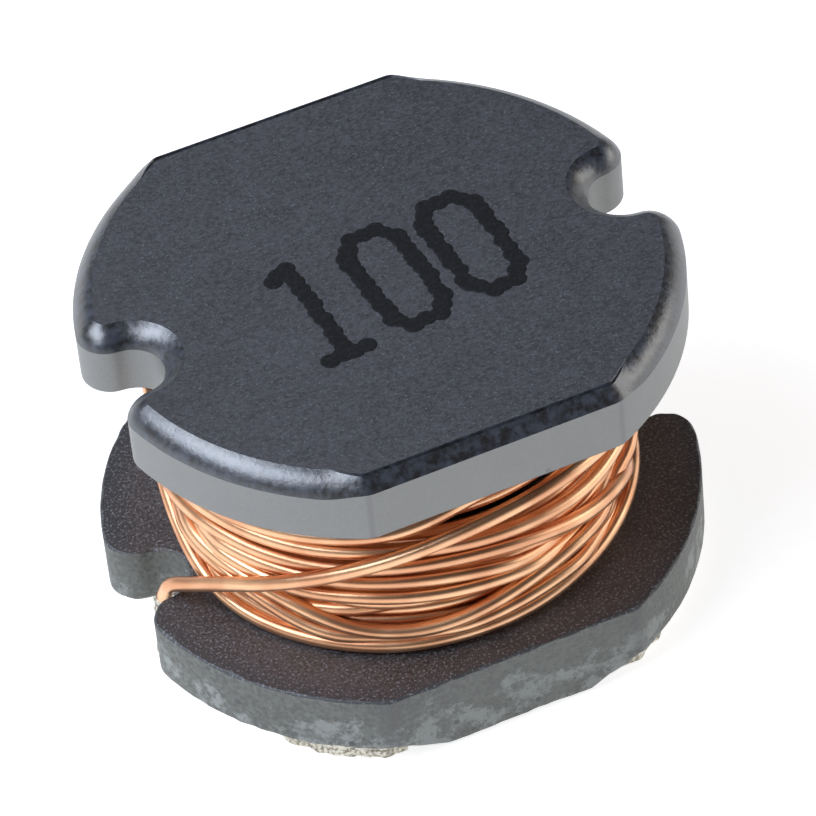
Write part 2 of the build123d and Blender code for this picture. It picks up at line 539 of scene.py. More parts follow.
@dataclass(frozen=True)
class EnamelledCopper:
    """Drawn copper magnet wire under a thin amber polyurethane enamel.

    The enamel tints the copper orange and keeps it bright, and the drawing die leaves faint
    lines along it. Light that bounces between turns turns deep red.
    """

    name: str = "copper_enamelled_wire"
    bright: str = "#FCC89C"
    deep: str = "#E2A67E"
    dull: str = "#C88A60"
    line_mm: float = 0.05
    line_relief_mm: float = 0.0004
    roughness: float = 0.32

    def material(self) -> Material:
        """Builds the finish's material."""
        material, tree, place = start_material(self.name)
        along = add_node(tree, "ShaderNodeUVMap", uv_map="wire").outputs["UV"]
        # One unit of U is a millimetre of wire and one of V is once round it.
        round_wire = WIRE_DIAMETER * math.pi / self.line_mm
        stretch = {"Vector": along, "Scale": (0.5, round_wire, 1)}
        stretched = add_node(tree, "ShaderNodeMapping", stretch).outputs["Vector"]
        drawn = {"Vector": stretched, "Scale": 1.0, "Detail": 3.0}
        lines = add_node(tree, "ShaderNodeTexNoise", drawn).outputs["Fac"]
        # The enamel's tint drifts from one millimetre of the coil to the next.
        tint = ramp(tree, field(tree, place, 0.8, detail=2.0), 0.35, 0.65)
        base = blend(tree, tint, linear(self.bright), linear(self.deep))
        colour = blend(tree, ramp(tree, lines, 0.60, 0.78), base, linear(self.dull))
        rough = ramp(tree, lines, 0.0, 1.0, self.roughness - 0.05, self.roughness + 0.10)
        inputs = {"Base Color": colour, "Metallic": 1.0, "Roughness": rough}
        inputs |= {"Coat Weight": 0.15, "Coat Roughness": 0.2}
        inputs["Normal"] = bumpy(tree, lines, self.line_relief_mm)
        shade_with(tree, inputs)
        return material


@dataclass(frozen=True)
class CastMetal:
    """A bare metal that froze or was fired in place: reflowed solder or printed silver.

    Its skin is dull and finely grained.
    """

    name: str
    bright: str
    dull: str
    grain_mm: float
    roughness: float
    relief_mm: float

    def material(self) -> Material:
        """Builds the finish's material."""
        material, tree, place = start_material(self.name)
        grain = field(tree, place, self.grain_mm, detail=5.0, roughness=0.65)
        shade = ramp(tree, grain, 0.38, 0.56)
        colour = blend(tree, shade, linear(self.dull), linear(self.bright))
        rough = ramp(tree, grain, 0.3, 0.7, self.roughness + 0.15, self.roughness - 0.1)
        inputs = {"Base Color": colour, "Metallic": 1.0, "Roughness": rough}
        inputs["Normal"] = bumpy(tree, grain, self.relief_mm)
        shade_with(tree, inputs)
        return material


REFLOWED_SOLDER = CastMetal("solder_reflowed", "#D9D5C9", "#8F8A7C", 0.05, 0.50, 0.006)
FIRED_SILVER = CastMetal("silver_fired_film", "#DEDBD2", "#A9A59A", 0.05, 0.50, 0.004)


@dataclass(frozen=True)
class JetInk:
    """Black solvent ink, jetted as round drops that dried matt and flat on the ferrite.

    The dried dye is near black and barely shines, and it is thinner between the drops.
    """

    name: str = "ink_jetted_black"
    thick: str = "#131418"
    thin: str = "#23252B"
    grain_mm: float = 0.05
    relief_mm: float = 0.003
    roughness: float = 0.62
    ior: float = 1.45

    def material(self) -> Material:
        """Builds the finish's material."""
        material, tree, place = start_material(self.name)
        grain = field(tree, place, self.grain_mm)
        colour = blend(tree, ramp(tree, grain, 0.4, 0.7), linear(self.thick), linear(self.thin))
        inputs = {"Base Color": colour, "Roughness": self.roughness, "IOR": self.ior}
        inputs["Normal"] = bumpy(tree, grain, self.relief_mm)
        shade_with(tree, inputs)
        return material


# ---------------------------------------------------------------- drum core


@dataclass(frozen=True)
class FlangeOutline:
    """Plan of a flange: a round rim with two flats and a round-lipped notch at each end, in mm."""

    length: float
    flat_depth: float
    corner_radius: float = 0.40
    lip_radius: float = 0.40
    notch_radius: float = 0.45
    notch_depth: float = 0.90
    bar_foot: float = 1.00
    points_on_flat: int = 12
    points_on_corner: int = 9
    points_on_rim: int = 34
    points_on_lip: int = 18
    points_on_notch: int = 14

    def quarter(self, inset: float) -> np.ndarray:
        """Points of the +X +Y quarter, from the middle of the flat to the notch floor.

        Args:
            inset: Distance by which the outline is drawn in.

        Returns:
            Two columns, X and Y.
        """
        rim = self.length / 2
        flat_y = rim - self.flat_depth
        floor_x = rim - self.notch_depth + self.notch_radius
        lip_x = (rim - self.lip_radius) ** 2 + floor_x**2
        lip_x = (lip_x - (self.notch_radius + self.lip_radius) ** 2) / (2 * floor_x)
        lip_y = math.sqrt((rim - self.lip_radius) ** 2 - lip_x**2)
        corner_y = flat_y - self.corner_radius
        corner_x = math.sqrt((rim - self.corner_radius) ** 2 - corner_y**2)
        rim_start = math.degrees(math.atan2(corner_y, corner_x))
        rim_end = math.degrees(math.atan2(lip_y, lip_x))
        lip_end = math.degrees(math.atan2(lip_y, lip_x - floor_x)) - 180
        on_foot = np.linspace(0, self.bar_foot, self.points_on_flat)
        beyond = np.linspace(self.bar_foot, corner_x, self.points_on_flat // 2)[1:]
        on_flat = np.append(on_foot, beyond)
        parts = [np.stack([on_flat, np.full(len(on_flat), flat_y - inset)], axis=1)]
        arcs = (
            (corner_x, corner_y, self.corner_radius - inset, 90, rim_start, self.points_on_corner),
            (0, 0, rim - inset, rim_start, rim_end, self.points_on_rim),
            (lip_x, lip_y, self.lip_radius - inset, rim_end, lip_end, self.points_on_lip),
            (floor_x, 0, self.notch_radius + inset, lip_end + 180, 180, self.points_on_notch),
        )
        for centre_x, centre_y, radius, start, end, count in arcs:
            turn = np.radians(np.linspace(start, end, count)[1:])
            across = centre_x + radius * np.cos(turn)
            parts.append(np.stack([across, centre_y + radius * np.sin(turn)], axis=1))
        return np.concatenate(parts)

    def loop(self, inset: float) -> np.ndarray:
        """The whole outline, clockwise from the middle of the +Y flat, no point twice."""
        quarter = self.quarter(inset)
        half = np.concatenate([quarter, (quarter * (1, -1))[::-1][1:]])
        return np.concatenate([half, (half * (-1, 1))[::-1][1:-1]])


class RingStack:
    """A skin as rings from the top down, each with the finish of the band below it, in mm."""

    def __init__(self, slopes: tuple[float, float], steps: int) -> None:
        """Starts without a ring.

        Args:
            slopes: Slope of the first and the last ring of a bevel, in degrees.
            steps: Rings in a bevel.
        """
        self.slopes = slopes
        self.steps = steps
        self.rings: list[np.ndarray] = []
        self.bands: list[FerriteFace] = []

    def add(self, plan: np.ndarray, height: Any, band: FerriteFace) -> None:
        """Adds one ring.

        Args:
            plan: Its X and Y.
            height: Its height, one for all or one for each point.
            band: Finish of the band below it.
        """
        self.rings.append(np.column_stack([plan, np.broadcast_to(height, len(plan))]))
        self.bands.append(band)

    def draw_in(self, outline: FlangeOutline, inset: Any, height: Any, band: FerriteFace) -> None:
        """Adds a ring inside a flange's outline.

        Args:
            outline: The outline.
            inset: How far the ring is drawn in, one for all or one for each point.
            height: Its height.
            band: Finish of the band below it.
        """
        full, widest = outline.loop(0), float(np.max(inset))
        share = np.broadcast_to(inset, len(full)) / max(widest, 1e-9)
        self.add(full + share[:, None] * (outline.loop(widest) - full), height, band)

    def bevel(
        self,
        outline: FlangeOutline,
        width: Any,
        edge: Any,
        down: int,
        finishes: tuple[FerriteFace, FerriteFace],
        fall: Any = None,
        straight: Any = 0.0,
    ) -> None:
        """Adds the rings of a bevel.

        Args:
            outline: Outline that it runs round.
            width: How far it reaches in.
            edge: Height of the face that it meets.
            down: 1 where it falls away from that face, -1 where it rises from it.
            finishes: Finish of the bevel and of the band below it.
            fall: How high it is, or None for as high as wide.
            straight: 0 where it is rounded, 1 where it is flat.
        """
        fall = width if fall is None else fall
        first, last = np.radians(self.slopes)
        for slope in np.linspace(first, last, self.steps)[::down]:
            inset = 1 - (math.sin(slope) - math.sin(first)) / (math.sin(last) - math.sin(first))
            drop = (math.cos(first) - math.cos(slope)) / (math.cos(first) - math.cos(last))
            passed = (slope - first) / (last - first)
            inset = inset + straight * (1 - passed - inset)
            drop = drop + straight * (passed - drop)
            self.draw_in(outline, width * inset, edge - down * fall * drop, finishes[0])
        self.bands[-1] = finishes[1]


@dataclass
class DrumCore:
    """The ferrite drum: two flanges on a post, with a drafted bar between two end lands below.

    All sizes are in mm. It is one stack of rings, from the middle of the top to the underside.
    """

    upper: FlangeOutline = FlangeOutline(7.70, 0.39)
    lower: FlangeOutline = FlangeOutline(7.799, 0.3995)
    upper_thickness: float = 0.95
    lower_thickness: float = 1.13
    post_radius: float = 1.60
    top_rim_radius: float = 0.26
    # On the flats the rim is a plain bevel, with a pressed crease between it and the top.
    top_flat_inset: float = 0.15
    top_flat_fall: float = 0.18
    flat_easing: float = 0.30
    crease_width: float = 0.055
    crease_least: float = 0.004
    crease_depth: float = 0.045
    level_margin: float = 0.04
    inner_edge_radius: float = 0.05
    lower_rim_radius: float = 0.030
    foot_edge_radius: float = 0.04
    chip_depth: float = 0.02
    chip_size: float = 0.20
    chip_contrast: float = 1.6
    chip_seeds: tuple[int, int] = (11, 23)
    bevel_slopes: tuple[float, float] = (24, 68)
    bevel_rings: int = 9
    sharp_angle: float = 19
    land_recess: float = 0.26
    bar_root: float = 1.70
    # Room left under the solid's top for the ink
    top_recess: float = 0.006

    def stack(self, low_z: float, high_z: float) -> RingStack:
        """Draws every ring.

        Args:
            low_z: Foot of the bar.
            high_z: Top of the upper flange.

        Returns:
            The rings and their finishes.
        """
        stack = RingStack(self.bevel_slopes, self.bevel_rings)
        under_z = high_z - self.upper_thickness
        ledge_z = low_z + self.lower_thickness
        self._add_upper_flange(stack, under_z, high_z)
        plan = self.upper.loop(0)
        post = plan / np.linalg.norm(plan, axis=1, keepdims=True) * self.post_radius
        for height in (under_z, ledge_z):
            stack.add(post, height, FerriteFace.LEDGE)
        self._add_lower_flange(stack, low_z, ledge_z)
        return stack

    def _add_upper_flange(self, stack: RingStack, low_z: float, high_z: float) -> None:
        """Adds the upper flange's rings.

        Args:
            stack: The stack that receives them.
            low_z: Underside of the flange.
            high_z: Its top.
        """
        top, rim, wall = FerriteFace.TOP, FerriteFace.RIM, FerriteFace.WALL
        on_flat = self._on_flats()
        width = self.top_rim_radius + on_flat * (self.top_flat_inset - self.top_rim_radius)
        fall = self.top_rim_radius + on_flat * (self.top_flat_fall - self.top_rim_radius)
        crease = self.crease_least + on_flat * self.crease_width
        stack.draw_in(self.upper, width + crease + self.level_margin, high_z, top)
        stack.draw_in(self.upper, width + crease, high_z, rim)
        stack.draw_in(self.upper, width + crease / 2, high_z - self.crease_depth * on_flat, rim)
        stack.bevel(self.upper, width, high_z, 1, (rim, wall), fall, on_flat)
        wall_low, wall_high = low_z + self.inner_edge_radius, high_z - fall
        for share in (0.1, 0.5, 0.9):
            stack.draw_in(self.upper, 0, wall_high + share * (wall_low - wall_high), wall)
        stack.bevel(self.upper, self.inner_edge_radius, low_z, -1, (wall, FerriteFace.LEDGE))

    def _add_lower_flange(self, stack: RingStack, low_z: float, high_z: float) -> None:
        """Adds the lower flange's rings, with crumbled edges and a foot that follows the bar.

        Args:
            stack: The stack that receives them.
            low_z: Foot of the bar.
            high_z: Top of the flange.
        """
        ledge, wall, under = (FerriteFace[name] for name in ("LEDGE", "LOWER_WALL", "UNDERSIDE"))
        rim = self.lower_rim_radius
        chips, foot_chips = (self._chips(seed) for seed in self.chip_seeds)
        stack.draw_in(self.lower, rim + self.chip_depth + self.level_margin, high_z, ledge)
        stack.bevel(self.lower, rim + chips, high_z, 1, (ledge, wall))
        across = np.abs(self.lower.loop(0)[:, 0])
        foot = self.lower.bar_foot
        draft = np.clip((across - foot) / (self.bar_root - foot), 0, 1)
        edge = low_z + self.land_recess * draft
        foot_radius = self.foot_edge_radius + foot_chips
        wall_high, wall_low = high_z - rim - chips, edge + foot_radius
        for share in (0.1, 0.4, 0.7, 0.95):
            stack.draw_in(self.lower, 0, wall_high + share * (wall_low - wall_high), wall)
        stack.bevel(self.lower, foot_radius, edge, -1, (under, under))

    def _on_flats(self) -> np.ndarray:
        """1 for a point of the upper outline on a flat, easing to 0 round the rim."""
        flat_y = self.upper.length / 2 - self.upper.flat_depth
        below_flat = flat_y - np.abs(self.upper.loop(0)[:, 1])
        share = np.clip(1 - below_flat / self.flat_easing, 0, 1)
        return share**2 * (3 - 2 * share)

    def _chips(self, seed: int) -> np.ndarray:
        """How much further the lower flange's edge has crumbled at each point, in mm."""
        points = self.lower.loop(0) / self.chip_size
        raggedness = np.array([noise.noise(Vector((x, y, seed))) for x, y in points])
        return self.chip_depth * np.clip(self.chip_contrast * raggedness, -1, 1)

    def underside_faces(self, first: int) -> list[list[int]]:
        """Faces that close the last ring: the bar's foot, its two drafts and the two lands.

        Args:
            first: Number of the last ring's first point.

        Returns:
            Corner numbers of the five faces.
        """
        across = self.lower.loop(0)[:, 0]
        # Points this close to the foot's edge or the root count as lying on it.
        touch, near, on_root = 1e-6, 0.01, 0.04
        foot = self.lower.bar_foot + touch
        parts = [np.abs(across) <= foot]
        for side in (1, -1):
            outward = side * across
            land = outward >= self.bar_root - on_root
            draft = (outward >= foot - near) & (outward <= outward[land].min() + touch)
            parts += [draft, land]
        return [(first + self._in_order(np.flatnonzero(part))).tolist() for part in parts]

    def _in_order(self, picked: np.ndarray) -> np.ndarray:
        """Turns a ring's picked point numbers so that they run on from the largest gap."""
        gaps = (np.roll(picked, -1) - picked) % len(self.lower.loop(0))
        return np.roll(picked, -1 - int(np.argmax(gaps)))

    def build(self) -> Piece:
        """Builds and dresses the drum and puts it in the solid's place."""
        low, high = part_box("drum_core")
        stack = self.stack(low.z / MM, high.z / MM - self.top_recess)
        levels, count = len(stack.rings), len(stack.rings[0])
        closing = self.underside_faces((levels - 1) * count)
        faces = [list(range(count))[::-1], *wall_faces(levels, count), *closing]
        bands = np.repeat([band.value for band in stack.bands[:-1]], count).tolist()
        underside = [FerriteFace.UNDERSIDE.value] * len(closing)
        slots = [FerriteFace.TOP.value, *bands, *underside]
        finishes = [FERRITE_FINISHES[face].material() for face in FerriteFace]
        points = np.concatenate(stack.rings)
        piece = add_mesh("drum_core_ferrite", points, faces, finishes, slots)
        piece.data.set_sharp_from_angle(angle=math.radians(self.sharp_angle))
        fit_piece(piece, "ferrite", "drum_core")
        return piece


# ---------------------------------------------------------------- winding


@dataclass(frozen=True)
class Turn:
    """One laid turn: its height in mm at chosen directions in degrees, going clockwise."""

    heights: tuple[tuple[float, float], ...]


@dataclass
class Winding:
    """The coil: an even inner layer, scattered outer turns that ride over each other, two leads.

    All sizes are in mm. The wire runs clockwise seen from above. The outer turns and the finish
    lead are one length of wire, and each turn lies on whatever was wound before it.
    """

    wire_radius: float = WIRE_DIAMETER / 2
    inner_radius: float = 2.80
    first_sweep_radius: float = 2.91
    last_sweep_radius: float = 3.02
    lead_radius: float = 3.22
    # Between these heights the inner layer draws in under the upper flange.
    crown_heights: tuple[float, float] = (2.88, 3.48)
    crown_depth: float = 0.42
    # Crossing wires press on each other, so they lie closer than a whole wire.
    contact: float = 0.12
    dip_per_degree: float = 0.012
    # Degrees of travel from one section to the next, and over which the wire's bends ease
    step: float = 1.5
    height_easing: float = 4.5
    dip_easing: float = 3.0
    levelled_end: float = 13.5
    sides: int = 12
    inner_sides: int = 8
    # Turns after which the wire moves out, and how many it takes for that
    first_sweep_turns: int = 7
    sweep_change: float = 0.4
    lead_change: tuple[float, float] = (-0.1, 0.12)
    flange_gap: float = 0.005
    notch_x: float = 3.45
    mouth_inset: float = 0.13
    lead_side_y: float = 0.23
    lead_drop: float = 0.25
    lead_straight_z: float = 0.70
    tail_z: float = 0.19
    tail_bend: float = 0.12
    tail_length: float = 1.00
    lead_spacing: float = 0.04

    outer_turns: ClassVar[tuple[Turn, ...]] = (
        # First sweep up the window, deep in the coil
        Turn((
            (-15, 1.31), (-120, 1.31), (-140, 1.40), (-150, 1.47), (-165, 1.52), (-195, 1.55),
        )),
        Turn((
            (-15, 1.50), (-60, 1.72), (-80, 1.97), (-93, 2.06), (-102, 1.97), (-112, 1.90),
            (-124, 1.86), (-140, 1.76), (-152, 1.68), (-195, 1.75),
        )),
        Turn((
            (-15, 1.60), (-70, 2.00), (-93, 2.12), (-105, 1.99), (-115, 1.97), (-126, 2.00),
            (-138, 2.12), (-160, 2.15), (-195, 2.3),
        )),
        Turn((
            (-15, 1.9), (-58, 2.1), (-90, 2.36), (-112, 2.46), (-136, 2.5), (-159, 2.5),
            (-195, 2.3),
        )),
        Turn(((-15, 3.0), (-50, 3.6), (-195, 3.68))),
        Turn(((-15, 3.70), (-195, 3.72))),
        Turn(((-15, 3.76), (-195, 3.8))),
        # Second sweep, back down, on the outside
        Turn(((-15, 3.76), (-70, 3.69), (-110, 3.69), (-195, 3.6))),
        Turn((
            (-15, 3.6), (-92, 3.72), (-103, 3.46), (-112, 3.28), (-130, 3.18), (-152, 3.06),
            (-195, 2.9),
        )),
        Turn((
            (-15, 2.60), (-48, 2.68), (-56, 2.69), (-67, 2.74), (-78, 2.82), (-90, 2.89),
            (-104, 2.96), (-116, 2.98), (-136, 2.94), (-158, 2.89), (-180, 2.75), (-195, 2.6),
        )),
        Turn((
            (-15, 1.50), (-45, 1.85), (-58, 1.94), (-67, 2.04), (-78, 2.16), (-90, 2.34),
            (-101, 2.42), (-112, 2.45), (-140, 2.45), (-158, 2.42), (-170, 2.31), (-195, 2.1),
        )),
        Turn((
            (-15, 1.60), (-45, 1.86), (-67, 1.95), (-78, 2.05), (-90, 2.12), (-101, 2.15),
            (-124, 2.19), (-138, 2.15), (-147, 2.20), (-158, 2.23), (-168, 2.20), (-195, 2.0),
        )),
        Turn((
            (-15, 2.10), (-35, 2.00), (-50, 1.93), (-67, 1.94), (-78, 1.89), (-90, 1.74),
            (-101, 1.59), (-112, 1.53), (-124, 1.57), (-135, 1.77), (-142, 1.92), (-152, 2.03),
            (-160, 2.07), (-195, 2.2),
        )),
        Turn((
            (-15, 1.35), (-40, 1.45), (-56, 1.54), (-67, 1.59), (-78, 1.60), (-90, 1.54),
            (-101, 1.46), (-112, 1.41), (-124, 1.41), (-135, 1.48), (-142, 1.62), (-150, 1.80),
            (-162, 1.93), (-195, 2.1),
        )),
        Turn((
            (-10, 1.32), (-20, 1.35), (-27, 1.50), (-36, 1.83), (-50, 2.08), (-58, 2.19),
            (-67, 2.34), (-78, 2.53), (-90, 2.66), (-101, 2.71), (-112, 2.70), (-142, 2.64),
            (-158, 2.62), (-168, 2.56), (-195, 2.3),
        )),
        Turn((
            (-15, 1.50), (-48, 1.47), (-67, 1.43), (-78, 1.39), (-90, 1.37), (-101, 1.35),
            (-112, 1.31), (-150, 1.31), (-158, 1.34), (-166, 1.42), (-172, 1.55), (-177, 1.70),
            (-184, 1.95), (-195, 2.3),
        )),
    )
    lead: ClassVar[Turn] = Turn((
        (-15, 3.10), (-40, 3.27), (-55, 3.38), (-66, 3.45), (-79, 3.46), (-89, 3.42),
        (-98, 3.32), (-105, 3.21), (-112, 3.07), (-119, 2.93), (-126, 2.77), (-135, 2.55),
        (-146, 2.25), (-155, 1.98), (-163.5, 1.70),
    ))
    leaving: ClassVar[tuple[tuple[float, float, float], ...]] = (
        (-3.08, -1.03, 1.755), (-3.24, -0.73, 1.56), (-3.345, -0.52, 1.425), (-3.40, -0.39, 1.31),
        (-3.425, -0.31, 1.16),
    )

    def laid_path(self, low_z: float, high_z: float) -> np.ndarray:
        """Lays the outer turns and the finish lead's run over the coil.

        Args:
            low_z: Top of the lower flange.
            high_z: Underside of the upper flange.

        Returns:
            The wire's middle line, three columns.
        """
        stations = []
        for number, turn in enumerate((*self.outer_turns, self.lead)):
            stations += [(360 * number - direction, height) for direction, height in turn.heights]
        travel, heights = np.array(stations).T
        angles = np.arange(travel[0], travel[-1], self.step)
        height = np.interp(angles, travel, heights)
        height = smooth(height, self.height_easing / self.step)
        clear = self.wire_radius + self.flange_gap
        height = np.clip(height, low_z + clear, high_z - clear)
        path = self._round(-angles, self._bed_down(height), height)
        # The easing levels off the last few steps, so they are left out.
        return path[: -int(self.levelled_end / self.step)]

    @staticmethod
    def _round(direction: np.ndarray, distance: np.ndarray, height: np.ndarray) -> np.ndarray:
        """Points at directions in degrees, distances from the axis and heights."""
        turn = np.radians(direction)
        return np.column_stack([distance * np.cos(turn), distance * np.sin(turn), height])

    def _bed_down(self, height: np.ndarray) -> np.ndarray:
        """Works out how far from the axis each point of the wire lies.

        The last turns lie taut on the outside, and each turn dips under those that cross it later.

        Args:
            height: The wire's height at each step of its travel.

        Returns:
            The wire's distance from the axis at each step.
        """
        per_turn = int(360 / self.step)
        dip = self.dip_per_degree * self.step
        turn_number = np.arange(len(height)) / per_turn
        moving_out = (self.first_sweep_turns, self.first_sweep_turns + self.sweep_change)
        lifting = tuple(len(self.outer_turns) + change for change in self.lead_change)
        first, last = self.first_sweep_radius, self.last_sweep_radius
        distance = np.interp(
            turn_number,
            (0, *moving_out, *lifting),
            (first, first, last, last, self.lead_radius),
        )
        for start in reversed(range(0, len(height), per_turn)):
            end = min(start + per_turn, len(height))
            for i in range(start, end):
                later = np.arange(i + per_turn, len(height), per_turn)
                rise = np.abs(height[later] - height[i])
                crossing = later[rise < self.contact]
                if len(crossing):
                    rise = height[crossing] - height[i]
                    reach = distance[crossing] - np.sqrt(self.contact**2 - rise**2)
                    distance[i] = min(distance[i], reach.min())
            for i in range(start + 1, end):
                distance[i] = min(distance[i], distance[i - 1] + dip)
            for i in range(end - 2, start - 1, -1):
                distance[i] = min(distance[i], distance[i + 1] + dip)
        return smooth(distance, self.dip_easing / self.step)

    def lead_end(self, side: int, flange_z: float) -> np.ndarray:
        """Corners of a lead from the notch's mouth down to the end of its tail under the flange.

        Args:
            side: +1 or -1, the notch's side along X.
            flange_z: Top of the lower flange.

        Returns:
            Points, three columns.
        """
        x = side * self.notch_x
        y = side * self.lead_side_y
        return np.array([
            (x, y, flange_z - self.lead_drop),
            (x, y, self.lead_straight_z),
            (x, y, self.tail_z + self.tail_bend),
            (x - side * self.tail_bend, y, self.tail_z),
            (x - side * self.tail_length / 2, y, self.tail_z),
            (x - side * self.tail_length, y, self.tail_z),
        ])

    def spline(self, points: np.ndarray) -> np.ndarray:
        """Draws a smooth line through points.

        Args:
            points: Points to pass through, three columns.

        Returns:
            Samples along a centripetal Catmull-Rom spline, lead_spacing apart.
        """
        padded = np.vstack([2 * points[0] - points[1], points, 2 * points[-1] - points[-2]])
        line = []
        for p0, p1, p2, p3 in zip(padded, padded[1:], padded[2:], padded[3:]):
            gaps = [math.sqrt(np.linalg.norm(b - a)) for a, b in ((p0, p1), (p1, p2), (p2, p3))]
            t0, t1, t2, t3 = 0.0, *np.cumsum(gaps)
            count = max(2, int(np.linalg.norm(p2 - p1) / self.lead_spacing))
            t = np.linspace(t1, t2, count, endpoint=False)[:, None]
            a1 = (t1 - t) / (t1 - t0) * p0 + (t - t0) / (t1 - t0) * p1
            a2 = (t2 - t) / (t2 - t1) * p1 + (t - t1) / (t2 - t1) * p2
            a3 = (t3 - t) / (t3 - t2) * p2 + (t - t2) / (t3 - t2) * p3
            b1 = (t2 - t) / (t2 - t0) * a1 + (t - t0) / (t2 - t0) * a2
            b2 = (t3 - t) / (t3 - t1) * a2 + (t - t1) / (t3 - t1) * a3
            line.append((t2 - t) / (t2 - t1) * b1 + (t - t1) / (t2 - t1) * b2)
        return np.vstack([*line, points[-1:]])

    def tube(self, name: str, path: np.ndarray, sides: int, material: Material) -> Piece:
        """Sweeps the round wire along a path, with its length and turn kept as UV.

        Args:
            name: Name of the piece.
            path: The wire's middle line, three columns.
            sides: Corners of the wire's section.
            material: Its finish.

        Returns:
            The wire as a closed mesh.
        """
        tangent = np.gradient(path, axis=0)
        tangent /= np.linalg.norm(tangent, axis=1, keepdims=True)
        across = np.empty_like(path)
        across[0] = np.cross(tangent[0], (0, 0, 1))
        for i in range(1, len(path)):
            across[i] = across[i - 1] - tangent[i] * np.dot(across[i - 1], tangent[i])
            across[i] /= np.linalg.norm(across[i])
        across[0] /= np.linalg.norm(across[0])
        other = np.cross(tangent, across)
        turn = np.linspace(0, 2 * math.pi, sides, endpoint=False)[None, :, None]
        ring = np.cos(turn) * across[:, None] + np.sin(turn) * other[:, None]
        vertices = (path[:, None] + self.wire_radius * ring).reshape(-1, 3)
        last = (len(path) - 1) * sides
        ends = [list(range(sides))[::-1], list(range(last, last + sides))]
        piece = add_mesh(name, vertices, wall_faces(len(path), sides) + ends, [material])
        gaps = np.linalg.norm(np.diff(path, axis=0), axis=1)
        run = np.concatenate([[0], np.cumsum(gaps)])
        number = np.arange(sides)
        wall = np.zeros((len(path) - 1, sides, 4, 2), np.float32)
        wall[..., 0] = np.stack([run[:-1], run[:-1], run[1:], run[1:]], axis=-1)[:, None]
        wall[..., 1] = np.stack([number, number + 1, number + 1, number], axis=-1) / sides
        corners = np.zeros(2 * len(piece.data.loops), np.float32)
        corners[: wall.size] = wall.ravel()
        piece.data.uv_layers.new(name="wire").data.foreach_set("uv", corners)
        return piece

    def inner_layer(self, flange_z: float, under_z: float) -> np.ndarray:
        """Winds the start lead and the even inner layer.

        Args:
            flange_z: Top of the lower flange.
            under_z: Underside of the upper flange.

        Returns:
            The wire's middle line, three columns.
        """
        diameter = 2 * self.wire_radius
        turns = (under_z - flange_z - diameter) / diameter
        travel = np.arange(0, 360 * turns, 2 * self.step)
        height = flange_z + self.wire_radius + travel / 360 * diameter
        reach = (self.inner_radius, self.inner_radius - self.crown_depth)
        distance = np.interp(height, self.crown_heights, reach)
        layer = self._round(-travel, distance, height)[1:]
        mouth = (self.notch_x - self.mouth_inset, self.lead_side_y)
        mouth += (flange_z + 2 * self.flange_gap + self.wire_radius,)
        start = self.lead_end(1, flange_z)[::-1]
        return np.vstack([self.spline(np.vstack([start, mouth, layer[:1]]))[:-1], layer])

    def build(self) -> list[Piece]:
        """Winds the coil and puts it in the solid's place."""
        low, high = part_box("drum_core")
        flange_z = low.z / MM + DrumCore.lower_thickness
        under_z = high.z / MM - DrumCore.upper_thickness
        copper = EnamelledCopper().material()
        inner_path = self.inner_layer(flange_z, under_z)
        inner = self.tube("copper_inner_layer", inner_path, self.inner_sides, copper)
        laid = self.laid_path(flange_z, under_z)
        end = np.vstack([laid[-1:], self.leaving, self.lead_end(-1, flange_z)])
        outer_path = np.vstack([laid[:-1], self.spline(end)])
        outer = self.tube("copper_outer_turns", outer_path, self.sides, copper)
        fit_piece(outer, "copper_wire", "winding")
        fit_piece(inner, "copper_wire")
        return [inner, outer]


# ---------------------------------------------------------------- solder and electrodes


